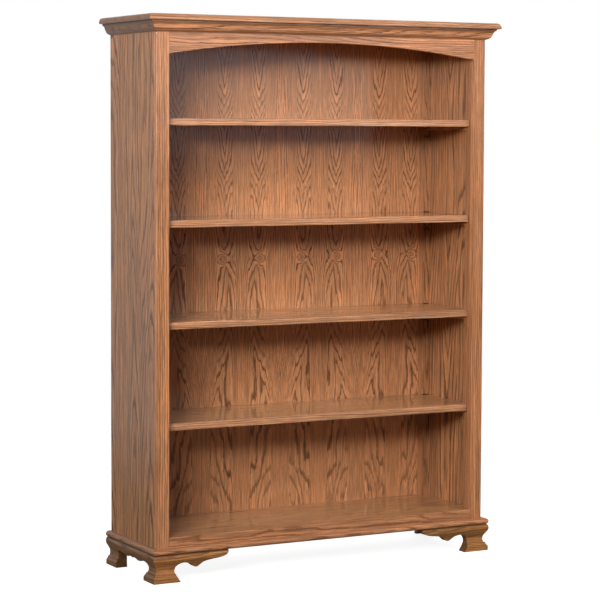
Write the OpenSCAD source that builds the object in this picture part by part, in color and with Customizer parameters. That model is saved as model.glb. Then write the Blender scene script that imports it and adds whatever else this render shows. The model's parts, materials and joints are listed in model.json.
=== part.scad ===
// Oak bookcase with an arched face frame, a moulded crown, ogee bracket feet and four
// adjustable shelves. Each shelf rests on two loose cleats that drop into notched strips.
// Millimetres, +Z up, the open front faces -Y, the floor is Z = 0.

/* [Case] */
// Width across the two side panels
case_w = 1240; // [1000:10:1400]
// Depth from the front of the face frame to the rear edges of the sides
case_d = 371; // [340:1:450]
// Height from the floor to the top of the crown
total_h = 1829; // [1800:1:2000]
// Thickness of the side panels, the deck and the case top
board_t = 19; // [16:1:22]
// Thickness of the veneered back panel
back_t = 12; // [6:1:12]
// Set-back of the back panel from the rear edges of the sides
back_inset = 3; // [0:1:6]
// Width of the rebate that holds the back panel
rebate_w = 10; // [6:1:12]
// Depth of the housings in the sides for the deck and the case top
housing_d = 6; // [4:1:8]

/* [Face frame] */
// Width of each stile
stile_w = 44; // [38:1:60]
// Thickness of the stiles and rails
frame_t = 19; // [16:1:22]
// Height of the bottom rail
bottom_rail_h = 53; // [45:1:80]
// Height of the top rail at the middle of its arch
top_rail_mid_h = 60; // [50:1:90]
// Rise of the arch under the top rail
arch_rise = 46; // [20:1:60]

/* [Crown] */
// Thickness of the top board
top_board_t = 20; // [18:1:24]
// Reach of the top board past the case
top_board_reach = 41; // [36:1:50]
// Height of the moulding under the top board
crown_h = 36; // [34:1:40]
// Reach of the moulding past the case
crown_reach = 29; // [26:1:32]

/* [Base] */
// Height of the bracket feet
foot_h = 92; // [88:1:96]
// Reach of the bead and the feet past the case
base_reach = 20; // [18:1:24]
// Height of the half-round bead above the feet
bead_h = 20; // [14:1:24]
// Thickness of the foot brackets inside the line of the case
bracket_inner = 21; // [19:1:28]
// Width of the hidden rails of the base frame
base_rail_w = 56; // [50:1:80]

/* [Shelves] */
// Thickness of each adjustable shelf
shelf_t = 23; // [19:1:26]
// Height of the lowest adjustable shelf's underside
first_shelf_z = 488; // [400:1:500]
// Height from one adjustable shelf to the next
shelf_pitch = 329; // [280:1:330]
// Set-back of a shelf's front edge from the front of the face frame
shelf_setback = 25; // [22:1:40]
// Depth of the solid front edge of a shelf
shelf_edge_d = 19; // [12:1:22]
// Gap between a shelf and what surrounds it
shelf_gap = 1.5; // [1:0.5:3]

/* [Shelf supports] */
// Width of each notched strip, front to back
strip_w = 32; // [28:1:40]
// Diameter of the half-round notches
notch_d = 12.7; // [10:0.1:16]
// Height from one notch to the next
notch_pitch = 25.4; // [20:0.1:32]
// Clearance around a cleat in its notches
cleat_gap = 0.3; // [0.2:0.1:0.5]

/* [Hidden] */
$fn = 48;

// Colours of the stained oak by part, the unstained inner wood and the steel
face_oak = [0.80, 0.54, 0.37];
side_oak = [0.56, 0.43, 0.33];
back_oak = [0.70, 0.48, 0.32];
shelf_oak = [0.74, 0.50, 0.34];
base_oak = [0.72, 0.46, 0.28];
inner_wood = [0.83, 0.72, 0.55];
steel = [0.62, 0.62, 0.60];

// Depth coordinates count back from the front of the face frame, and this moves the
// front so that the whole bookcase is centred on the origin
front_y = -(case_d - top_board_reach) / 2;
side_x = case_w / 2;
inner_x = side_x - board_t;
opening_x = side_x - stile_w;
back_y = case_d - back_inset - back_t;

// Levels from the floor up
bead_top = foot_h + bead_h;
deck_top = foot_h + bottom_rail_h;
deck_z = deck_top - board_t;
case_top_z = total_h - top_board_t;
ceiling_z = case_top_z - board_t;
crown_z = case_top_z - crown_h;
arch_z = case_top_z - top_rail_mid_h - arch_rise;
arch_r = (opening_x * opening_x + arch_rise * arch_rise) / (2 * arch_rise);

// Shelf supports
strip_front_y = frame_t + strip_w;
strip_rear_y = back_y - strip_w;
notch_r = notch_d / 2;
cleat_r = notch_r - cleat_gap;
cleat_end_gap = 0.5;
notches_each_way = 1;
tongue = 6;

// Feet and glue blocks
block_w = 20;
block_lift = 3;
rear_bracket_l = 26;
front_bracket_l = 270;
side_apron_l = case_d + base_reach;

// Fasteners
dowel_d = 8;
dowel_l = 50;
brad_d = 1.6;
brad_l = 30;
brad_head_d = 3;
screw_d = 4.5;
screw_head_d = 9;
screw_head_h = 4;
crown_screw_l = 32;
foot_screw_l = 75;
brads_per_strip = 6;
back_brad_rows = 11;
back_brad_columns = 8;

big = 4000;
curve_steps = 6;

function shelf_z(n) = first_shelf_z + (n - 1) * shelf_pitch;

// Points on an ellipse's arc from angle a0 to a1
function arc(c, rx, ry, a0, a1, steps = 10) =
    [for (i = [0:steps]) let (a = a0 + (a1 - a0) * i / steps) c + [rx * cos(a), ry * sin(a)]];

// One point of the smooth curve between p1 and p2
function blend_point(p0, p1, p2, p3, t) =
    ((2 * p1) + (p2 - p0) * t + (2 * p0 - 5 * p1 + 4 * p2 - p3) * t * t
     + (3 * p1 - p0 - 3 * p2 + p3) * t * t * t) / 2;

// A smooth curve through every point of a list
function curve(pts) = let (last = len(pts) - 1) concat(
    [for (i = [0:last - 1], k = [0:curve_steps - 1])
        blend_point(pts[max(i - 1, 0)], pts[i], pts[i + 1], pts[min(i + 2, last)],
                    k / curve_steps)],
    [pts[last]]);

function shifted(pts, by) = [for (p = pts) p + by];
function reversed(pts) = [for (i = [len(pts) - 1:-1:0]) pts[i]];

// Profiles hold [reach past the case, height]

// Thumbnail edge of the top board, from its underside
function top_board_profile() = concat(
    [[-20, 0], [top_board_reach - 4, 0]],
    arc([top_board_reach - 3, 3], 3, 3, -90, 0, 5),
    arc([top_board_reach - 13, 5], 13, top_board_t - 5, 0, 90, 10),
    [[-20, top_board_t]]);

// Flat ovolo below, a flat, a shallow cove and a fillet under the top board
function crown_profile() = concat(
    [[0, 0], [2, 0]],
    curve([[2, 1], [6, 2], [10.5, 4.5], [14.5, 8.3], [16.5, 12.5]]),
    [[18, 13], [18, crown_h - 19]],
    curve([[19.5, crown_h - 18.5], [20.3, crown_h - 14.5], [22.3, crown_h - 10.5],
           [25, crown_h - 7.3], [27.5, crown_h - 5.5]]),
    [[crown_reach, crown_h - 5], [crown_reach, crown_h], [0, crown_h]]);

function bead_profile() = concat(
    [[0, 0]],
    arc([base_reach - bead_h / 2, bead_h / 2], bead_h / 2, bead_h / 2, -90, 90, 12),
    [[0, bead_h]]);

// Ogee face of a foot bracket: sole, bevel, ledge, waist and bulge
function ogee_profile() = concat(
    [[-bracket_inner, 0], [base_reach - 1.5, 0], [base_reach - 1.5, 15], [12, 24],
     [12, 27], [7.5, 28.5]],
    curve([[5.2, 33], [4.3, 41], [6.5, 51], [13, 62], [18.5, 71], [base_reach, 79],
           [18.5, 87], [14.5, foot_h]]),
    [[-bracket_inner, foot_h]]);

// Outlines hold [distance from the foot's outer corner, height]

function front_bracket_outline() = concat(
    [[0, 0], [97, 0], [88, 14]],
    curve([[82, 26], [80, 36], [85, 50], [99, 59.5], [117, 61.5], [135, 56], [147, 47],
           [156, 42.5], [165, 44.5], [173, 51], [184, 59], [206, 64.5], [238, 69], [258, 75],
           [front_bracket_l - 2, 84], [front_bracket_l, foot_h]]),
    [[0, foot_h]]);

function half_apron_curve() = curve(
    [[77, 26], [74, 38], [76, 50], [84, 58], [98, 60.5], [114, 58], [132, 53], [150, 51.5],
     [161, 53], [169, 57], [178, 59], [187, 56.5], [side_apron_l / 2, 54]]);

function side_apron_outline() = concat(
    [[0, 0], [85, 0], [84, 13]],
    half_apron_curve(),
    [for (p = reversed(half_apron_curve())) if (p[0] < side_apron_l / 2 - 1)
        [side_apron_l - p[0], p[1]]],
    [[side_apron_l - 84, 13], [side_apron_l - 85, 0], [side_apron_l, 0],
     [side_apron_l, foot_h], [0, foot_h]]);

rear_bracket_outline = [[0, 0], [rear_bracket_l, 0], [22, 15], [20, 36], [22, 55],
                        [rear_bracket_l, 70], [rear_bracket_l, foot_h], [0, foot_h]];

// Helpers

module in_case() {
    translate([0, front_y, 0]) children();
}

module mirrored() {
    mirror([1, 0, 0]) children();
}

module box(lo, hi) {
    translate(lo) cube(hi - lo);
}

// A drawing of [depth, height] drawn out along X
module run_x(x0, x1) {
    translate([x0, 0, 0]) rotate([90, 0, 90]) linear_extrude(x1 - x0) children();
}

// A drawing of [width, height] drawn out along Y
module run_y(y0, y1) {
    translate([0, y1, 0]) rotate([90, 0, 0]) linear_extrude(y1 - y0) children();
}

// A moulding's profile turned to face the front or the left side
module outward(pts) {
    polygon([for (p = pts) [-p[0], p[1]]]);
}

// Everything on the left side's half of the front left corner's mitre
module left_of_mitre() {
    translate([-side_x, 0, 0]) rotate(45) translate([-big / 2, 0, -big / 2]) cube(big);
}

module front_moulding(pts, z, reach) {
    difference() {
        run_x(-side_x - reach, side_x + reach) outward(shifted(pts, [0, z]));
        left_of_mitre();
        mirrored() left_of_mitre();
    }
}

module left_moulding(pts, z, reach) {
    intersection() {
        translate([-side_x, 0, 0]) run_y(-reach, case_d) outward(shifted(pts, [0, z]));
        left_of_mitre();
    }
}

// A countersunk screw that points up, its head's face at the origin
module screw(length) {
    cylinder(d1 = screw_head_d, d2 = screw_d, h = screw_head_h);
    cylinder(d = screw_d, h = length - screw_d);
    translate([0, 0, length - screw_d]) cylinder(d1 = screw_d, d2 = 1, h = screw_d);
}

module brad() {
    cylinder(d = brad_head_d, h = 1);
    cylinder(d = brad_d, h = brad_l);
}

// Case

module left_side() {
    difference() {
        box([-side_x, frame_t, foot_h], [-inner_x, case_d, case_top_z]);
        box([-inner_x - housing_d, 0, deck_z], [0, back_y, deck_top]);
        box([-inner_x - housing_d, 0, ceiling_z], [0, back_y, big]);
        box([-inner_x - rebate_w, back_y, 0], [0, big, big]);
    }
}

module left_side_panel() {
    color(side_oak) in_case() left_side();
}

module right_side_panel() {
    color(side_oak) in_case() mirrored() left_side();
}

module case_top_panel() {
    x = inner_x + housing_d;
    color(shelf_oak) in_case() box([-x, frame_t, ceiling_z], [x, back_y, case_top_z]);
}

module bottom_deck() {
    x = inner_x + housing_d;
    color(shelf_oak) in_case() box([-x, frame_t, deck_z], [x, back_y, deck_top]);
}

module back_panel() {
    x = inner_x + rebate_w;
    color(back_oak) in_case() box([-x, back_y, foot_h], [x, back_y + back_t, case_top_z]);
}

// Face frame

module left_stile() {
    box([-side_x, 0, foot_h], [-opening_x, frame_t, case_top_z]);
}

module left_face_stile() {
    color(face_oak) in_case() left_stile();
}

module right_face_stile() {
    color(face_oak) in_case() mirrored() left_stile();
}

module arched_top_rail() {
    below = 10;
    color(face_oak) in_case() run_y(0, frame_t) difference() {
        translate([-opening_x, arch_z - below])
            square([2 * opening_x, case_top_z - arch_z + below]);
        translate([0, arch_z + arch_rise - arch_r]) circle(r = arch_r, $fn = 720);
    }
}

module bottom_face_rail() {
    color(face_oak) in_case() box([-opening_x, 0, foot_h], [opening_x, frame_t, deck_top]);
}

module face_frame_dowels() {
    top_rail_end_h = case_top_z - arch_z;
    heights = [foot_h + 0.28 * bottom_rail_h, foot_h + 0.72 * bottom_rail_h,
               arch_z + 0.3 * top_rail_end_h, arch_z + 0.75 * top_rail_end_h];
    color(inner_wood) in_case() for (side = [-1, 1], z = heights)
        translate([side * opening_x, frame_t / 2, z]) rotate([0, 90, 0])
            cylinder(d = dowel_d, h = dowel_l, center = true);
}

// Crown

module crown_top_board() {
    edge = 20;
    core_x = side_x - edge;
    pts = shifted(top_board_profile(), [0, case_top_z]);
    color(face_oak) in_case() union() {
        box([-core_x, edge, case_top_z], [core_x, case_d, total_h]);
        front_moulding(pts, 0, top_board_reach);
        left_moulding(pts, 0, top_board_reach);
        mirrored() left_moulding(pts, 0, top_board_reach);
    }
}

module crown_moulding_front() {
    color(face_oak) in_case() front_moulding(crown_profile(), crown_z, crown_reach);
}

module crown_moulding_left() {
    color(side_oak) in_case() left_moulding(crown_profile(), crown_z, crown_reach);
}

module crown_moulding_right() {
    color(side_oak) in_case() mirrored() left_moulding(crown_profile(), crown_z, crown_reach);
}

module crown_screws() {
    color(steel) in_case() for (x = [-3:2:3], y = [60, case_d - 60])
        translate([x * case_w / 8, y, ceiling_z]) screw(crown_screw_l);
}

// Base

module base_bead_front() {
    color(base_oak) in_case() front_moulding(bead_profile(), foot_h, base_reach);
}

module base_bead_left() {
    color(side_oak) in_case() left_moulding(bead_profile(), foot_h, base_reach);
}

module base_bead_right() {
    color(side_oak) in_case() mirrored() left_moulding(bead_profile(), foot_h, base_reach);
}

module base_frame_front_rail() {
    color(inner_wood) in_case()
        box([-inner_x, frame_t, foot_h], [inner_x, frame_t + base_rail_w, deck_z]);
}

module base_frame_rear_rail() {
    color(inner_wood) in_case()
        box([-inner_x, back_y - base_rail_w, foot_h], [inner_x, back_y, deck_z]);
}

module left_base_rail() {
    box([-inner_x, frame_t + base_rail_w, foot_h],
        [-inner_x + base_rail_w, back_y - base_rail_w, deck_z]);
}

module base_frame_left_rail() {
    color(inner_wood) in_case() left_base_rail();
}

module base_frame_right_rail() {
    color(inner_wood) in_case() mirrored() left_base_rail();
}

module left_front_bracket() {
    corner_x = -side_x - base_reach;
    difference() {
        intersection() {
            run_x(corner_x, corner_x + front_bracket_l) outward(ogee_profile());
            translate([corner_x, 0, 0]) run_y(-base_reach, bracket_inner)
                polygon(front_bracket_outline());
        }
        left_of_mitre();
    }
}

module front_left_foot_bracket() {
    color(base_oak) in_case() left_front_bracket();
}

module front_right_foot_bracket() {
    color(base_oak) in_case() mirrored() left_front_bracket();
}

module left_apron() {
    intersection() {
        translate([-side_x, 0, 0]) run_y(-base_reach, case_d) outward(ogee_profile());
        translate([0, -base_reach, 0])
            run_x(-side_x - base_reach, -side_x + bracket_inner) polygon(side_apron_outline());
        left_of_mitre();
    }
}

module left_side_foot_apron() {
    color(base_oak) in_case() left_apron();
}

module right_side_foot_apron() {
    color(base_oak) in_case() mirrored() left_apron();
}

module left_rear_bracket() {
    translate([-side_x + bracket_inner, 0, 0]) run_y(case_d - board_t, case_d)
        polygon(rear_bracket_outline);
}

module rear_left_foot_bracket() {
    color(inner_wood) in_case() left_rear_bracket();
}

module rear_right_foot_bracket() {
    color(inner_wood) in_case() mirrored() left_rear_bracket();
}

// Places a child at the inner corner of each foot; Y points away from the near bracket
module at_foot_corners() {
    x = side_x - bracket_inner;
    for (side = [0, 1]) mirror([side, 0, 0]) {
        translate([-x, bracket_inner, 0]) children();
        translate([-x, case_d - board_t, 0]) mirror([0, 1, 0]) children();
    }
}

module foot_glue_blocks() {
    color(inner_wood) in_case() at_foot_corners()
        box([0, 0, block_lift], [block_w, block_w, foot_h]);
}

module foot_screws() {
    color(steel) in_case() at_foot_corners()
        translate([block_w / 2, block_w / 2, deck_z]) mirror([0, 0, 1]) screw(foot_screw_l);
}

// Shelf supports

module strip(y0, notched_y) {
    difference() {
        box([-inner_x, y0, deck_top], [-opening_x, y0 + strip_w, ceiling_z]);
        for (n = [1:4], k = [-notches_each_way:notches_each_way])
            translate([-inner_x - 1, notched_y, shelf_z(n) - cleat_r + k * notch_pitch])
                rotate([0, 90, 0]) cylinder(d = notch_d, h = board_t + stile_w);
    }
}

module left_front_notched_strip() {
    color(face_oak) in_case() strip(frame_t, strip_front_y);
}

module left_rear_notched_strip() {
    color(face_oak) in_case() strip(strip_rear_y, strip_rear_y);
}

module right_front_notched_strip() {
    color(face_oak) in_case() mirrored() strip(frame_t, strip_front_y);
}

module right_rear_notched_strip() {
    color(face_oak) in_case() mirrored() strip(strip_rear_y, strip_rear_y);
}

module notched_strip_brads() {
    spacing = (ceiling_z - deck_top) / brads_per_strip;
    color(steel) in_case() for (side = [0, 1]) mirror([side, 0, 0])
        for (y = [frame_t + strip_w / 3, back_y - strip_w / 3], i = [1:brads_per_strip])
            translate([-opening_x, y, deck_top + (i - 0.5) * spacing]) rotate([0, -90, 0])
                brad();
}

module back_panel_brads() {
    rise = (ceiling_z - deck_z) / (back_brad_rows + 1);
    run = 2 * inner_x / (back_brad_columns + 1);
    rear = back_y + back_t;
    color(steel) in_case() {
        for (side = [-1, 1], i = [1:back_brad_rows])
            translate([side * (inner_x + rebate_w / 2), rear, deck_z + i * rise])
                rotate([90, 0, 0]) brad();
        for (z = [deck_z, ceiling_z], i = [1:back_brad_columns])
            translate([i * run - inner_x, rear, z + board_t / 2]) rotate([90, 0, 0]) brad();
    }
}

// Shelves

// Panel that fits around the four strips, with a groove for its solid front edge
module shelf_panel(n) {
    z = shelf_z(n);
    front = shelf_setback + shelf_edge_d;
    ear_front = strip_front_y + shelf_gap;
    ear_rear = strip_rear_y - shelf_gap;
    between_x = opening_x - shelf_gap;
    ear_x = inner_x - shelf_gap;
    color(shelf_oak) in_case() difference() {
        union() {
            box([-between_x, front, z], [between_x, back_y - shelf_gap, z + shelf_t]);
            box([-ear_x, ear_front, z], [ear_x, ear_rear, z + shelf_t]);
        }
        box([-big / 2, 0, z + shelf_t / 2 - tongue / 2],
            [big / 2, front + tongue, z + shelf_t / 2 + tongue / 2]);
    }
}

module shelf_front_edge(n) {
    z = shelf_z(n);
    x = opening_x - shelf_gap;
    front = shelf_setback + shelf_edge_d;
    color(face_oak) in_case() union() {
        box([-x, shelf_setback, z], [x, front, z + shelf_t]);
        box([-x, front, z + shelf_t / 2 - tongue / 2],
            [x, front + tongue, z + shelf_t / 2 + tongue / 2]);
    }
}

// Loose stick with round ends that lie in the front and the rear strip's notches
module cleat(n) {
    z = shelf_z(n) - cleat_r;
    x0 = -inner_x + cleat_end_gap;
    run_x(x0, -opening_x - cleat_end_gap) union() {
        translate([strip_front_y, z - cleat_r])
            square([strip_rear_y - strip_front_y, 2 * cleat_r]);
        for (y = [strip_front_y, strip_rear_y]) translate([y, z]) circle(r = cleat_r);
    }
}

module left_cleat(n) {
    color(face_oak) in_case() cleat(n);
}

module right_cleat(n) {
    color(face_oak) in_case() mirrored() cleat(n);
}

left_side_panel();
right_side_panel();
case_top_panel();
bottom_deck();
back_panel();
left_face_stile();
right_face_stile();
arched_top_rail();
bottom_face_rail();
face_frame_dowels();
crown_top_board();
crown_moulding_front();
crown_moulding_left();
crown_moulding_right();
crown_screws();
base_bead_front();
base_bead_left();
base_bead_right();
base_frame_front_rail();
base_frame_rear_rail();
base_frame_left_rail();
base_frame_right_rail();
front_left_foot_bracket();
front_right_foot_bracket();
left_side_foot_apron();
right_side_foot_apron();
rear_left_foot_bracket();
rear_right_foot_bracket();
foot_glue_blocks();
foot_screws();
left_front_notched_strip();
left_rear_notched_strip();
right_front_notched_strip();
right_rear_notched_strip();
notched_strip_brads();
back_panel_brads();
shelf_panel(1);  // shelf_1_panel
shelf_panel(2);  // shelf_2_panel
shelf_panel(3);  // shelf_3_panel
shelf_panel(4);  // shelf_4_panel
shelf_front_edge(1);  // shelf_1_front_edge
shelf_front_edge(2);  // shelf_2_front_edge
shelf_front_edge(3);  // shelf_3_front_edge
shelf_front_edge(4);  // shelf_4_front_edge
left_cleat(1);  // shelf_1_left_cleat
left_cleat(2);  // shelf_2_left_cleat
left_cleat(3);  // shelf_3_left_cleat
left_cleat(4);  // shelf_4_left_cleat
right_cleat(1);  // shelf_1_right_cleat
right_cleat(2);  // shelf_2_right_cleat
right_cleat(3);  // shelf_3_right_cleat
right_cleat(4);  // shelf_4_right_cleat
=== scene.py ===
"""Looks of the oak bookcase: rounded boards, stained oak with its own grain in every board,
a bookmatched veneer back, plain studio light and the camera. Metres, +Z up, front faces -Y."""

import json
import math

import bmesh
import bpy
from mathutils import Euler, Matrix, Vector


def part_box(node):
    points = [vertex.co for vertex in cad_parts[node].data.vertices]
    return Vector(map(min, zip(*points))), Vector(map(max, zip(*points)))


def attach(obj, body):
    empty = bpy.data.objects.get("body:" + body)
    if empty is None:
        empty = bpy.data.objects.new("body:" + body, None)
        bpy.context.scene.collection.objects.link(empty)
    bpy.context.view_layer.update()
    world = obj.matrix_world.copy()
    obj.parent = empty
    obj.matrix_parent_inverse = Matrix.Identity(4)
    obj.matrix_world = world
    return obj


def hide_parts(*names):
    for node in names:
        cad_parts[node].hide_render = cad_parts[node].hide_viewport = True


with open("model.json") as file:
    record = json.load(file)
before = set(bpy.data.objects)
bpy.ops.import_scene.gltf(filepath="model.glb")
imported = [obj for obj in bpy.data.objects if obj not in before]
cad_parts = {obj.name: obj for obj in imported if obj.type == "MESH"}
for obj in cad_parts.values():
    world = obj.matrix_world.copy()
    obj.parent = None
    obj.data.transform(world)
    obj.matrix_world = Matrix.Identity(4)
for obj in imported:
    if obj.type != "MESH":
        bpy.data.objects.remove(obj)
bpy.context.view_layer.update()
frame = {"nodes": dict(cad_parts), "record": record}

MM = 0.001

# How far from the middle the face frame's rails end and its stiles begin
stile_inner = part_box("right_face_stile")[0].x


# ---------------------------------------------------------------- stage, light and camera


# The camera fitted to the photo's straight lines
CAMERA_PLACE = (-3.4935, -6.4904, 1.4677)
CAMERA_TURN = math.radians(-28.212)
CAMERA_DIP = math.radians(3.735)
CAMERA_ROLL = math.radians(0.212)
LENS_MM, SENSOR_MM = 130.4, 36.0
LENS_SHIFT = -0.05


def make_camera():
    """A long lens at eye height, in front and to the left, with a little lens shift."""
    data = bpy.data.cameras.new("camera")
    data.lens = LENS_MM
    data.sensor_width = SENSOR_MM
    data.shift_y = LENS_SHIFT
    camera = bpy.data.objects.new("camera", data)
    camera.location = CAMERA_PLACE
    camera.rotation_mode = "QUATERNION"
    aim = Euler((math.pi / 2 - CAMERA_DIP, 0.0, CAMERA_TURN)).to_quaternion()
    camera.rotation_quaternion = aim @ Euler((0.0, 0.0, CAMERA_ROLL)).to_quaternion()
    bpy.context.scene.collection.objects.link(camera)
    bpy.context.scene.camera = camera


def panel_light(name, place, size, power, aim):
    """A flat soft light that faces the point aim."""
    data = bpy.data.lights.new(name, "AREA")
    data.shape = "RECTANGLE"
    data.size, data.size_y = size
    data.energy = power
    light = bpy.data.objects.new(name, data)
    light.location = place
    light.rotation_mode = "QUATERNION"
    away = Vector(place) - Vector(aim)
    light.rotation_quaternion = away.to_track_quat("Z", "Y")
    bpy.context.scene.collection.objects.link(light)
    return light


def make_lights():
    """A long softbox to the left throws the shelf shadows and a dimmer one above it fills
    the bays. Both point over the top of the case, so the light fades towards the floor. One
    more hangs high on the right, a card shows only in reflections and gives the upper front
    its sheen, and the last one lights the rear. The high and the rear light don't mirror."""
    over_the_case = (0.0, 0.0, 2.6)
    for name, height, tall, power in (("key", 2.39, 0.56, 106), ("key_upper", 3.75, 2.1, 80)):
        key = panel_light(name, (-4.4, -4.35, height), (2.7, tall), power, over_the_case)
        key.data.spread = math.radians(110)
    high = panel_light("high", (2.5, -2.4, 3.2), (1.6, 1.6), 80, (0.4, 0.0, 1.4))
    high.visible_glossy = False
    card = panel_light("card", (1.9, -4.3, 2.1), (2.2, 1.4), 17, (0.0, 0.0, 1.6))
    card.data.color = (0.85, 0.92, 1.0)
    card.visible_diffuse = False
    rear = panel_light("rear", (3.9, 3.7, 3.0), (3.0, 2.0), 75, (0.0, 0.0, 1.0))
    rear.visible_glossy = False


def make_world():
    """White to the camera. As light it is dim in front and brighter behind, where the
    studio's white backdrop hangs."""
    world = bpy.data.worlds.new("studio")
    world.use_nodes = True
    world.node_tree.nodes.clear()
    g = Graph(world.node_tree)
    seen = g.add("ShaderNodeBackground", {"Color": (1, 1, 1, 1), "Strength": 1.0})
    heading = g.separate(g.add("ShaderNodeTexCoord").outputs["Generated"])[1]
    in_front, behind = 0.03, 0.38
    strength = g.ramp(heading, -0.2, 0.7, in_front, behind)
    light = g.add("ShaderNodeBackground", {"Color": (0.97, 0.98, 1, 1), "Strength": strength})
    path = g.add("ShaderNodeLightPath")
    mix = g.add("ShaderNodeMixShader", {0: path.outputs["Is Camera Ray"]})
    g.feed(mix.inputs[1], light.outputs[0])
    g.feed(mix.inputs[2], seen.outputs[0])
    out = g.add("ShaderNodeOutputWorld")
    g.feed(out.inputs["Surface"], mix.outputs[0])
    bpy.context.scene.world = world


FLOOR_RADIUS = 4.5


def floor_disc(name, drop):
    """A disc of the stage, at floor level or this far under it."""
    bm = bmesh.new()
    bmesh.ops.create_circle(bm, cap_ends=True, segments=128, radius=FLOOR_RADIUS)
    bmesh.ops.translate(bm, verts=bm.verts, vec=(0, 0, -drop))
    disc = new_object(name, bm)
    return disc


def floor_shader(name, shade, glow):
    """Matt paint of one shade, and a glow if any, that turns clear towards the disc's rim."""
    material, g = new_material(name)
    point = g.add("ShaderNodeTexCoord").outputs["Object"]
    away = g.add("ShaderNodeVectorMath", {0: point}, operation="LENGTH").outputs["Value"]
    fade = g.ramp(away, FLOOR_RADIUS * 0.3, FLOOR_RADIUS * 0.95)
    speckle = g.noise(point, (30.0, 30.0, 30.0), detail=4)
    dark = tuple(0.97 * c for c in shade) + (1,)
    colour = g.mix(speckle, dark, shade + (1,))
    paint = g.add(
        "ShaderNodeBsdfPrincipled",
        {
            "Base Color": colour, "Roughness": 0.6,
            "Emission Color": (1, 1, 1, 1), "Emission Strength": glow,
        },
    )
    clear = g.add("ShaderNodeBsdfTransparent")
    mix = g.add("ShaderNodeMixShader", {0: fade})
    g.feed(mix.inputs[1], paint.outputs[0])
    g.feed(mix.inputs[2], clear.outputs[0])
    out = g.add("ShaderNodeOutputMaterial")
    g.feed(out.inputs["Surface"], mix.outputs[0])
    return material


def make_floor():
    """A white floor that only the camera sees, and just under it a darker, warmer one that
    only the light meets, so that the wood isn't lit strongly from below."""
    seen = floor_disc("floor", 0.0)
    seen.data.materials.append(floor_shader("white floor", (0.5, 0.5, 0.5), 0.88))
    seen.visible_diffuse = False
    seen.visible_glossy = False
    seen.visible_transmission = False
    seen.visible_shadow = False
    bounce = floor_disc("floor_bounce", 1 * MM)
    bounce.data.materials.append(floor_shader("warm floor", (0.21, 0.18, 0.12), 0.0))
    bounce.visible_camera = False


# ------------------------------------------------------------------------- node helpers


class Graph:
    """Short calls that add shader nodes to one tree and link them."""

    def __init__(self, tree):
        self.tree = tree

    def feed(self, socket, value):
        if isinstance(value, bpy.types.NodeSocket):
            self.tree.links.new(value, socket)
        else:
            socket.default_value = value

    def add(self, kind, inputs=None, **settings):
        node = self.tree.nodes.new(kind)
        for key, value in settings.items():
            setattr(node, key, value)
        for key, value in (inputs or {}).items():
            self.feed(node.inputs[key], value)
        return node

    def math(self, operation, a, b=0.0):
        return self.add("ShaderNodeMath", {0: a, 1: b}, operation=operation).outputs[0]

    def vector(self, operation, a, b):
        node = self.add("ShaderNodeVectorMath", {0: a, 1: b}, operation=operation)
        return node.outputs["Vector"]

    def combine(self, x, y, z):
        return self.add("ShaderNodeCombineXYZ", {0: x, 1: y, 2: z}).outputs[0]

    def separate(self, vector):
        return self.add("ShaderNodeSeparateXYZ", {0: vector}).outputs

    def mix(self, factor, a, b, blend="MIX"):
        """A colour between a and b."""
        node = self.add("ShaderNodeMix", data_type="RGBA", blend_type=blend)
        self.feed(node.inputs[0], factor)
        self.feed(node.inputs[6], a)
        self.feed(node.inputs[7], b)
        return node.outputs[2]

    def ramp(self, value, low, high, to_low=0.0, to_high=1.0):
        """A smooth step from to_low, where value is low, to to_high, where it is high."""
        node = self.add("ShaderNodeMapRange", interpolation_type="SMOOTHSTEP")
        for key, number in enumerate((value, low, high, to_low, to_high)):
            self.feed(node.inputs[key], number)
        return node.outputs[0]

    def noise(self, point, frequency, detail=2.0, roughness=0.5, colour=False):
        """Noise of 0 to 1, or three of them, with its own frequency along each axis."""
        stretched = self.vector("MULTIPLY", point, frequency)
        node = self.add(
            "ShaderNodeTexNoise",
            {"Vector": stretched, "Scale": 1.0, "Detail": detail, "Roughness": roughness},
        )
        return node.outputs["Color" if colour else "Fac"]

    def random(self, value):
        node = self.add("ShaderNodeTexWhiteNoise", {"W": value}, noise_dimensions="1D")
        return node.outputs["Value"]


# --------------------------------------------------------------------------------- oak


# About how often the wood's marks come in a metre: across the board, through it and along
MARKS = {
    "wander": (7.0, 7.0, 1.1), "wave": (60.0, 60.0, 8.0), "fray": (650.0, 650.0, 45.0),
    "pore": (1500.0, 1500.0, 70.0), "streak": (340.0, 340.0, 13.0),
    "band": (75.0, 75.0, 1.6), "drift": (10.0, 10.0, 1.3), "fleck": (190.0, 420.0, 30.0),
}
PORE_COLOUR = (0.060, 0.022, 0.008, 1)
DRIFT_TINT = (1.0, 0.93, 0.86, 1)


def add_oak_sockets(tree):
    sockets = tree.interface
    for name, kind in (
        ("Point", "Vector"), ("Seed", "Float"), ("Pith", "Vector"), ("Ring", "Float"),
        ("Light", "Color"), ("Dark", "Color"), ("Wear", "Float"), ("End", "Float"),
        ("Stripes", "Float"), ("Bow", "Float"), ("Shade", "Float"),
    ):
        sockets.new_socket(name, in_out="INPUT", socket_type="NodeSocket" + kind)
    for name, kind in (("Color", "Color"), ("Roughness", "Float"), ("Height", "Float")):
        sockets.new_socket(name, in_out="OUTPUT", socket_type="NodeSocket" + kind)


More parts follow.
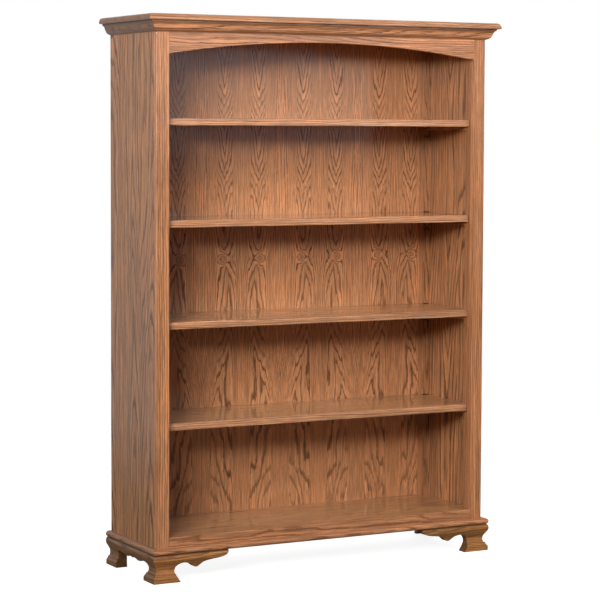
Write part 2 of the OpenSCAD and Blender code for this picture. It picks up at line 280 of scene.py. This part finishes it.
def make_oak_group():
    """Red oak cut from a log. Point is [across, depth, along the grain] in the board, and
    Pith is where the log's centre lies. Where depth changes along the board, the rings meet
    its face as the arches of plain-sawn wood. Gives colour, roughness and height."""
    tree = bpy.data.node_groups.new("oak figure", "ShaderNodeTree")
    add_oak_sockets(tree)
    g = Graph(tree)
    given = g.add("NodeGroupInput").outputs
    seed = given["Seed"]
    jump = g.combine(
        g.math("MULTIPLY", seed, 3.17), g.math("MULTIPLY", seed, 1.93),
        g.math("MULTIPLY", seed, 5.71),
    )
    point = g.vector("ADD", given["Point"], jump)

    early, year = growth_rings(g, given, point)
    fine = g.noise(point, MARKS["pore"], detail=1.0)
    pores = g.math(
        "MULTIPLY", g.ramp(fine, 0.55, 0.66), g.ramp(early, 0.0, 0.8, 0.30, 1.0)
    )
    drift = g.noise(point, MARKS["drift"])

    warm = g.mix(g.ramp(drift, 0.3, 0.7), given["Light"], DRIFT_TINT, "MULTIPLY")
    light = g.mix(0.6, given["Light"], warm)
    colour = g.mix(early, light, given["Dark"])
    colour = g.mix(g.math("MULTIPLY", pores, 0.6), colour, PORE_COLOUR)
    value = lightness(g, given, point, drift, year)
    colour = g.mix(1.0, colour, g.combine(value, value, value), "MULTIPLY")

    satin = g.ramp(drift, 0.2, 0.8, 0.30, 0.40)
    rough = g.math("ADD", satin, g.math("MULTIPLY", pores, 0.22))
    height = g.math("MULTIPLY", g.math("ADD", pores, g.math("MULTIPLY", early, 0.3)), -1.0)
    out = g.add("NodeGroupOutput")
    g.feed(out.inputs["Color"], colour)
    g.feed(out.inputs["Roughness"], rough)
    g.feed(out.inputs["Height"], height)
    return tree


def lightness(g, given, point, drift, year):
    """How light the wood is, near 1. Streaks, stripes, slow drift, the year, flecks and worn
    arrises change it a little. End grain is darker, as stained end grain is, and more so as
    painted shade. Painted shade darkens the place close under a board."""
    streak = g.noise(point, MARKS["streak"])
    band = g.noise(point, MARKS["band"], detail=1.0)
    fleck = g.ramp(g.noise(point, MARKS["fleck"], detail=1.0), 0.64, 0.72)
    value = g.ramp(streak, 0.32, 0.68, 0.74, 1.20)
    stripe = g.math("MULTIPLY", g.ramp(band, 0.30, 0.70, -1.0, 1.0), given["Stripes"])
    value = g.math("MULTIPLY", value, g.math("ADD", stripe, 1.0))
    value = g.math("MULTIPLY", value, g.ramp(drift, 0.25, 0.75, 0.88, 1.10))
    value = g.math("MULTIPLY", value, g.ramp(year, 0.0, 1.0, 0.94, 1.06))
    value = g.math("ADD", value, g.math("MULTIPLY", fleck, 0.08))
    value = g.math("ADD", value, g.math("MULTIPLY", given["Wear"], 0.10))
    # end grain is darker as stained end grain is, and deepened as painted shade on side-facing
    # ends
    value = g.math("MULTIPLY", value, g.ramp(given["End"], 0.5, 0.9, 1.0, 0.46))
    # painted shade close under a board that rests on this one
    return g.math("MULTIPLY", value, given["Shade"])


# An arch's tip: how steep its legs are beside the centre line, and how soon they flatten
TIP_SLOPE, TIP_SHARPNESS = 0.14, 50.0
# How far the rings' lines stray: sideways over the whole board, in waves and in fine fraying
WANDER_ACROSS, WAVE_DEPTH, FRAY_DEPTH = 0.024, 6 * MM, 1.3 * MM


def growth_rings(g, given, point):
    """How much of each place is dark early wood, and a random number for its year."""
    wander = g.noise(point, MARKS["wander"], detail=1.0, colour=True)
    wander = g.vector("SUBTRACT", wander, (0.5, 0.5, 0.5))
    wander = g.vector("MULTIPLY", wander, g.combine(WANDER_ACROSS, given["Bow"], 0.0))
    from_pith = g.vector("SUBTRACT", given["Point"], given["Pith"])
    across, depth, _ = g.separate(g.vector("ADD", from_pith, wander))
    flat = g.combine(across, depth, 0.0)
    radius = g.add("ShaderNodeVectorMath", {0: flat}, operation="LENGTH").outputs["Value"]

    # Arches come to a point, and their lines waver and fray
    aside = g.math("ABSOLUTE", across)
    flatten = g.math("ADD", g.math("MULTIPLY", aside, TIP_SHARPNESS), 1.0)
    point_up = g.math("DIVIDE", aside, flatten)
    radius = g.math("ADD", radius, g.math("MULTIPLY", point_up, TIP_SLOPE))
    wave = g.noise(point, MARKS["wave"])
    fray = g.noise(point, MARKS["fray"])
    radius = g.math("ADD", radius, g.math("MULTIPLY", wave, WAVE_DEPTH))
    radius = g.math("ADD", radius, g.math("MULTIPLY", fray, FRAY_DEPTH))

    # Early wood starts each ring suddenly and fades into the late wood
    turns = g.math("DIVIDE", radius, given["Ring"])
    phase = g.math("FRACT", turns)
    year = g.random(g.math("ADD", g.math("FLOOR", turns), given["Seed"]))
    fade = g.ramp(phase, 0.16, 0.44, 1.0, 0.0)
    early = g.math("MULTIPLY", fade, g.ramp(phase, 0.0, 0.05))
    return g.math("MULTIPLY", early, g.ramp(year, 0.0, 1.0, 0.45, 1.0)), year


# Which of the frame's axes run across the board, through it and along its grain
LAY = {
    "upright": (0, 1, 2), "side": (1, 0, 2), "rail": (2, 1, 0), "shelf": (1, 2, 0),
    "return": (2, 0, 1),
}

# Linear colours of the stained wood: (light wood, dark early wood). "dim" is painted shade, a
# darker copy for the crown's side mouldings and the side aprons; "top", for the crown board and
# the shelves' front edges, is paler and whiter, partly painted sheen; "bare" is unstained wood
STAINS = {
    "face": ((0.56, 0.242, 0.108, 1), (0.205, 0.072, 0.026, 1)),
    "top": ((0.60, 0.290, 0.150, 1), (0.230, 0.090, 0.040, 1)),
    "side": ((0.41, 0.186, 0.079, 1), (0.125, 0.049, 0.021, 1)),
    "back": ((0.66, 0.310, 0.140, 1), (0.165, 0.055, 0.018, 1)),
    "shelf": ((0.61, 0.320, 0.140, 1), (0.220, 0.092, 0.034, 1)),
    "base": ((0.42, 0.180, 0.056, 1), (0.200, 0.076, 0.022, 1)),
    "dim": ((0.22, 0.095, 0.033, 1), (0.110, 0.042, 0.014, 1)),
    "bare": ((0.60, 0.47, 0.30, 1), (0.42, 0.30, 0.17, 1)),
}


def cut_in_widths(g, across, width, line):
    """Splits a panel crossways. Gives each part's number, the place within it from -1/2 to
    1/2, and a thin line where two parts meet."""
    place = g.math("ADD", g.math("DIVIDE", across, width), 0.5)
    number = g.math("FLOOR", place)
    within = g.math("SUBTRACT", g.math("FRACT", place), 0.5)
    edge = g.math("SUBTRACT", 0.5, g.math("ABSOLUTE", within))
    return number, within, g.ramp(edge, 0.0, line / width, 0.6, 0.0)


# The dark lines where boards or veneer leaves meet
GLUE_LINE, VENEER_SEAM = 0.4 * MM, 0.3 * MM


def glued_up(g, across, along, seed, width):
    """Boards of one width edge to edge, each from another place in another log."""
    number, within, seam = cut_in_widths(g, across, width, GLUE_LINE)
    chance = g.random(g.math("ADD", number, seed))
    turned = g.math("SIGN", g.math("SUBTRACT", g.random(g.math("ADD", number, -seed)), 0.5))
    shift = g.math("MULTIPLY", g.math("SUBTRACT", chance, 0.5), 0.07)
    across = g.math("ADD", g.math("MULTIPLY", within, width), shift)
    seed = g.math("ADD", g.math("MULTIPLY", chance, 40.0), seed)
    return across, g.math("MULTIPLY", along, turned), seed, seam


# The veneer's figure. Places along a leaf are counted up from its knot
LEANS = (-0.62, -0.25)        # the arches' column leans over between these heights
ABOUT_KNOT = (-0.03, 0.03)    # what differs above and below the knot changes here
STEP_LENGTH = 0.26            # from one slow step in the arches to the next
LEAF_DRIFT = 0.9 * MM         # how much deeper in the log each next leaf lies
KNOT_ASIDE = 5.5 * MM         # how far the knot lies beside the leaf's middle
KNOT_RADIUS, KNOT_SWELL = 24 * MM, 9 * MM
LOG_CENTRE = 90 * MM          # how deep under the leaf


def open_pages(g, across, width):
    """Gives each leaf's number, the place across it, turned over in every other leaf, and
    the seams."""
    number, within, seam = cut_in_widths(g, across, width, VENEER_SEAM)
    odd = g.math("FLOORED_MODULO", number, 2.0)
    side = g.math("SUBTRACT", 1.0, g.math("MULTIPLY", odd, 2.0))
    return number, g.math("MULTIPLY", g.math("MULTIPLY", within, side), width), seam


def arch_legs(g, across, along):
    """How far the arches' legs run down from the line of their tips, as depth in the log.
    They are steeper near the tips above the knot."""
    tips = g.ramp(along, *LEANS, -41 * MM, 28 * MM)
    tips = g.math("ADD", tips, g.ramp(along, -0.12, 0.05, 0.0, -18 * MM))
    from_tips = g.math("ABSOLUTE", g.math("SUBTRACT", across, tips))
    steep = g.math("MINIMUM", from_tips, 30 * MM)
    steep = g.math("MULTIPLY", steep, g.ramp(along, -0.10, 0.12, 0.0, 0.10))
    return g.math("ADD", g.math("MULTIPLY", from_tips, 0.13), steep)


def beyond_flat(g, across, along):
    """How far a place lies outside the flat grain about the arches' column."""
    middle = g.ramp(along, *LEANS, 0.0, 12 * MM)
    half = g.ramp(along, *LEANS, 39 * MM, 25 * MM)
    aside = g.math("ABSOLUTE", g.math("SUBTRACT", across, middle))
    return g.math("MAXIMUM", g.math("SUBTRACT", aside, half), 0.0)


def leaf_depth(g, along, beyond):
    """The leaf comes nearer the log's centre away from the knot, in slow steps, and less so
    outside the flat grain."""
    height = g.math("ABSOLUTE", along)
    taper = g.math("MULTIPLY", height, g.ramp(along, *ABOUT_KNOT, 0.042, 0.070))
    steps = g.math("SINE", g.math("MULTIPLY", height, 2 * math.pi / STEP_LENGTH))
    steps = g.math("MULTIPLY", steps, g.ramp(along, *ABOUT_KNOT, 0.8 * MM, 1.6 * MM))
    taper = g.math("ADD", taper, steps)
    return g.math("MULTIPLY", taper, g.ramp(beyond, 0.0, 40 * MM, 1.0, 0.12))


def knot_swell(g, across, along):
    """The rings bulge about the small knot."""
    aside = g.math("SUBTRACT", across, KNOT_ASIDE)
    from_knot = g.combine(aside, 0.0, g.math("MULTIPLY", along, 0.7))
    away = g.add("ShaderNodeVectorMath", {0: from_knot}, operation="LENGTH")
    return g.ramp(away.outputs["Value"], 0.0, KNOT_RADIUS, KNOT_SWELL, 0.0)


def bookmatched(g, across, along, width):
    """Veneer leaves of one flitch, each turned over like a book's page. In every leaf one
    column of arches points to a small knot from both ends. Gives the point in the log, where
    the log's centre lies from there, and the seams."""
    number, across, seam = open_pages(g, across, width)
    beyond = beyond_flat(g, across, along)
    taper = leaf_depth(g, along, beyond)
    drift = g.math("MULTIPLY", number, LEAF_DRIFT)
    depth = g.math("SUBTRACT", taper, knot_swell(g, across, along))
    depth = g.math("ADD", depth, drift)
    point = g.combine(across, g.math("SUBTRACT", depth, arch_legs(g, across, along)), along)
    return point, g.combine(g.math("SUBTRACT", across, beyond), LOG_CENTRE, 0.0), seam


def board_point(g, lay, centre):
    """The place in a board: across its grain, through it and along its grain."""
    at = g.add("ShaderNodeTexCoord").outputs["Object"]
    xyz = g.separate(g.vector("SUBTRACT", at, tuple(centre)))
    return [xyz[axis] for axis in LAY[lay]]


def end_grain(g, lay):
    """1 where the grain runs straight out of the surface."""
    facing = g.separate(g.add("ShaderNodeNewGeometry").outputs["Normal"])[LAY[lay][2]]
    return g.math("ABSOLUTE", facing)


def painted_shade_under(g, level):
    """Painted shade: darkens the last millimetres below a board that rests on this one."""
    if level is None:
        return 1.0
    z = g.separate(g.add("ShaderNodeTexCoord").outputs["Object"])[2]
    return g.ramp(z, level - 6 * MM, level - 1 * MM, 1.0, 0.35)


def oak_surface(g, lay, point, stain, coat=0.55, haze=0.14, seam=None, under=None, **figured):
    """Lacquered oak from a point in a board; figured holds the group's plain numbers."""
    light, dark = STAINS[stain]
    figure = g.add("ShaderNodeGroup", node_tree=OAK)
    figured.update(
        Point=point, Light=light, Dark=dark, End=end_grain(g, lay), Shade=painted_shade_under(g, under),
        Wear=g.add("ShaderNodeAttribute", attribute_name="arris").outputs["Fac"],
    )
    for key, value in figured.items():
        g.feed(figure.inputs[key], value)
    colour = figure.outputs["Color"]
    if seam is not None:
        colour = g.mix(seam, colour, dark)
    bump = g.add(
        "ShaderNodeBump",
        {"Strength": 0.35, "Distance": 0.25 * MM, "Height": figure.outputs["Height"]},
    )
    surface = g.add(
        "ShaderNodeBsdfPrincipled",
        {
            "Base Color": colour, "Roughness": figure.outputs["Roughness"],
            "Normal": bump.outputs[0], "Coat Weight": coat, "Coat Roughness": haze,
        },
    )
    out = g.add("ShaderNodeOutputMaterial")
    g.feed(out.inputs["Surface"], surface.outputs[0])


def new_material(name):
    material = bpy.data.materials.new(name)
    material.use_nodes = True
    material.node_tree.nodes.clear()
    return material, Graph(material.node_tree)


def oak(name, lay, centre, stain, seed, pith=(0.01, 0.06), slope=0.03, ring=4.2 * MM,
        boards=None, coat=0.55, haze=0.14, stripes=0.16, bow=0.03, under=None):
    """A solid board's own oak, or that of a panel glued up from boards of one width."""
    material, g = new_material(name)
    across, depth, along = board_point(g, lay, centre)
    seam = None
    if boards:
        across, along, seed, seam = glued_up(g, across, along, seed, boards)
    depth = g.math("ADD", depth, g.math("MULTIPLY", along, slope))
    point = g.combine(across, depth, along)
    oak_surface(
        g, lay, point, stain, coat, haze, seam, under, Seed=seed, Pith=(*pith, 0.0),
        Ring=ring, Stripes=stripes, Bow=bow,
    )
    return material


# The middle of one veneer leaf at the height of its knot, and the leaves' width
LEAF_MIDDLE = (0.0912, 0.0, 1.018)
LEAF_WIDTH = 152.75 * MM


def back_veneer():
    """The back's bookmatched leaves, as wide and with their knots as high as in the photo."""
    material, g = new_material("oak back veneer")
    across, _, along = board_point(g, "upright", LEAF_MIDDLE)
    point, pith, seam = bookmatched(g, across, along, LEAF_WIDTH)
    oak_surface(
        g, "upright", point, "back", seam=seam, Seed=11.0, Pith=pith, Ring=3.7 * MM,
        Stripes=0.08, Bow=0.02,
    )
    return material


def steel():
    """Dull zinc-plated steel for screws and brads."""
    material, g = new_material("zinc steel")
    point = g.add("ShaderNodeTexCoord").outputs["Object"]
    stain = g.noise(point, (400.0, 400.0, 400.0), detail=3)
    colour = g.mix(stain, (0.36, 0.35, 0.33, 1), (0.60, 0.59, 0.56, 1))
    surface = g.add(
        "ShaderNodeBsdfPrincipled",
        {"Base Color": colour, "Metallic": 1.0, "Roughness": g.ramp(stain, 0, 1, 0.3, 0.5)},
    )
    out = g.add("ShaderNodeOutputMaterial")
    g.feed(out.inputs["Surface"], surface.outputs[0])
    return material


# ------------------------------------------------------------------------------ boards


def new_object(name, bm):
    mesh = bpy.data.meshes.new(name)
    bm.to_mesh(mesh)
    bm.free()
    made = bpy.data.objects.new(name, mesh)
    bpy.context.scene.collection.objects.link(made)
    return made


ARRIS_ANGLE = math.radians(24)  # an edge that turns more is an arris
JOINT_SHARE = 0.2               # how much of the easing an arris in a glued joint gets
SAME_PLACE = 0.1 * MM           # how near its ends lie to the joint's plane


def lies_in(edge, planes):
    """Whether an edge lies in one of the planes, each given as (axis, place)."""
    return any(all(abs(v.co[axis] - at) < SAME_PLACE for v in edge.verts) for axis, at in planes)


def marked_solid(node, joints):
    """The CAD node's solid, with a bevel weight on each of its arrises."""
    bm = bmesh.new()
    bm.from_mesh(frame["nodes"][node].data)
    bmesh.ops.remove_doubles(bm, verts=bm.verts, dist=0.01 * MM)
    bmesh.ops.dissolve_limit(
        bm, angle_limit=math.radians(0.05), verts=bm.verts, edges=bm.edges
    )
    weight = bm.edges.layers.float.new("bevel_weight_edge")
    for edge in bm.edges:
        if len(edge.link_faces) == 2 and edge.calc_face_angle() > ARRIS_ANGLE:
            edge.smooth = False
            edge[weight] = JOINT_SHARE if lies_in(edge, joints) else 1.0
    for face in bm.faces:
        face.smooth = True
    return bm


def ease_arrises(piece, arris):
    """Bevels the weighted edges for good. The new faces come in the second material slot."""
    bevel = piece.modifiers.new("arris", "BEVEL")
    bevel.limit_method = "WEIGHT"
    bevel.width = arris
    bevel.segments = 2
    bevel.harden_normals = True
    bevel.material = 1
    depsgraph = bpy.context.evaluated_depsgraph_get()
    shaped = bpy.data.meshes.new_from_object(
        piece.evaluated_get(depsgraph), preserve_all_data_layers=True, depsgraph=depsgraph
    )
    piece.modifiers.clear()
    piece.data = shaped


def board(node, material, arris=1.2 * MM, joints=()):
    """Stands for a CAD node: the same solid with its arrises eased. An edge that lies in a
    glued joint's plane, given as (axis, place), stays almost sharp."""
    piece = new_object(node + "_board", marked_solid(node, joints))
    piece.data.materials.append(material)
    piece.data.materials.append(material)
    ease_arrises(piece, arris)
    mesh = piece.data
    worn = mesh.attributes.new("arris", "FLOAT", "FACE")
    worn.data.foreach_set("value", [float(f.material_index == 1) for f in mesh.polygons])
    for face in mesh.polygons:
        face.material_index = 0
    mesh.materials.clear()
    mesh.materials.append(material)
    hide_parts(node)
    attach(piece, body_of_node[node])
    return piece


body_of_node = {
    node: body
    for body, nodes in frame["record"]["behaviour"]["bodies"].items()
    for node in nodes
}


def centre_of(node):
    low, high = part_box(node)
    return (low + high) / 2


def oak_board(node, lay, stain, slot, seed, arris=1.2 * MM, joints=(), **look):
    """The board with oak of its own, which the seed picks; look holds what oak() takes."""
    material = oak("oak " + node, lay, centre_of(node), stain, seed, **look)
    return board(node, material, arris, joints)


# The shelves and the bottom deck have a thicker, clearer lacquer than the rest
SHELF_LACQUER = {"coat": 0.9, "haze": 0.04}


def hidden_board(node, lay, seed):
    """Unstained, unlacquered wood of the base, which doesn't show from the front."""
    oak_board(node, lay, "bare", "hidden_wood", seed, coat=0.0)


def make_case():
    for k, side in enumerate(("left", "right")):
        oak_board(
            side + "_side_panel", "side", "side", "oak_sides", 3.0 + 5 * k,
            boards=124 * MM, pith=(0.01, 0.100), ring=8 * MM, slope=0.03, bow=0.08,
            stripes=0.18,
        )
    oak_board("case_top_panel", "shelf", "shelf", "oak_shelves", 21.0, boards=112 * MM)
    oak_board(
        "bottom_deck", "shelf", "shelf", "oak_shelves", 22.0, boards=112 * MM,
        **SHELF_LACQUER,
    )
    board("back_panel", back_veneer())


def make_face_frame():
    joints = ((0, stile_inner), (0, -stile_inner))
    for k, side in enumerate(("left", "right")):
        oak_board(
            side + "_face_stile", "upright", "face", "oak_face_frame", 31.0 + k,
            joints=joints, arris=2.2 * MM, pith=(0.06, 0.05), slope=0.004, ring=5.2 * MM,
        )
    for k, rail in enumerate(("arched_top_rail", "bottom_face_rail")):
        oak_board(
            rail, "rail", "face", "oak_face_frame", 34.0 + 2 * k, joints=joints,
            arris=2.2 * MM, pith=(0.02, 0.055), slope=0.01, ring=4.2 * MM,
            bow=0.04,
        )


def make_crown():
    # the "top" stain is paler and whiter, partly painted sheen on the board's nose
    oak_board("crown_top_board", "shelf", "top", "oak_crown", 41.0, boards=137 * MM)
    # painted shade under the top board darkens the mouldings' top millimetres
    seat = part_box("crown_top_board")[0].z
    oak_board(
        "crown_moulding_front", "rail", "face", "oak_crown", 42.0, arris=0.5 * MM, under=seat
    )
    for k, side in enumerate(("left", "right")):
        # the side mouldings take the "dim" stain, painted shade for faces turned from the light
        oak_board(
            "crown_moulding_" + side, "return", "dim", "oak_crown", 43.0 + k,
            arris=0.5 * MM, under=seat,
        )


def make_base():
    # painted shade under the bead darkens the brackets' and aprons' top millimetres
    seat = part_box("base_bead_front")[0].z
    oak_board("base_bead_front", "rail", "face", "oak_base", 51.0, arris=0.5 * MM)
    for k, side in enumerate(("left", "right")):
        oak_board(
            "base_bead_" + side, "return", "side", "oak_base", 52.0 + k, arris=0.5 * MM
        )
        oak_board(
            f"front_{side}_foot_bracket", "rail", "base", "oak_base", 54.0 + k,
            arris=0.8 * MM, under=seat,
        )
        # the side aprons take the "dim" stain, painted shade for faces turned from the light
        oak_board(
            side + "_side_foot_apron", "return", "dim", "oak_base", 56.0 + k,
            arris=0.8 * MM, under=seat,
        )
        hidden_board(f"rear_{side}_foot_bracket", "rail", 58.0 + k)
        hidden_board(f"base_frame_{side}_rail", "return", 60.0 + k)
    for k, node in enumerate(("base_frame_front_rail", "base_frame_rear_rail")):
        hidden_board(node, "rail", 62.0 + k)
    hidden_board("foot_glue_blocks", "upright", 64.0)


def make_supports():
    for k, place in enumerate(("left_front", "left_rear", "right_front", "right_rear")):
        oak_board(
            place + "_notched_strip", "upright", "side", "oak_supports", 71.0 + k,
            arris=0.6 * MM,
        )


def make_shelves():
    for n in range(1, 5):
        glue_line = ((1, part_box(f"shelf_{n}_panel")[0].y),)
        oak_board(
            f"shelf_{n}_panel", "shelf", "shelf", "oak_shelves", 80.0 + n,
            joints=glue_line, boards=106 * MM, **SHELF_LACQUER,
        )
        oak_board(
            f"shelf_{n}_front_edge", "rail", "top", "oak_shelves", 86.0 + n,
            arris=1.8 * MM, slope=0.004, pith=(0.05, 0.04), ring=5.0 * MM,
        )
        for k, side in enumerate(("left", "right")):
            oak_board(
                f"shelf_{n}_{side}_cleat", "return", "face", "oak_supports",
                92.0 + 2 * n + k, arris=0.8 * MM,
            )


def finish_fasteners():
    """Screws and brads keep their CAD shape, and so do the hidden dowels."""
    metal = steel()
    bare = oak("bare dowel", "rail", (0, 0, 0), "bare", 99.0, coat=0.0)
    for node, obj in frame["nodes"].items():
        if node.endswith(("_screws", "_brads")):
            obj.data.materials.clear()
            obj.data.materials.append(metal)
        elif node == "face_frame_dowels":
            obj.data.materials.clear()
            obj.data.materials.append(bare)


OAK = make_oak_group()
make_world()
make_floor()
make_lights()
make_camera()
make_case()
make_face_frame()
make_crown()
make_base()
make_supports()
make_shelves()
finish_fasteners()
bpy.context.scene.view_settings.view_transform = "Standard"
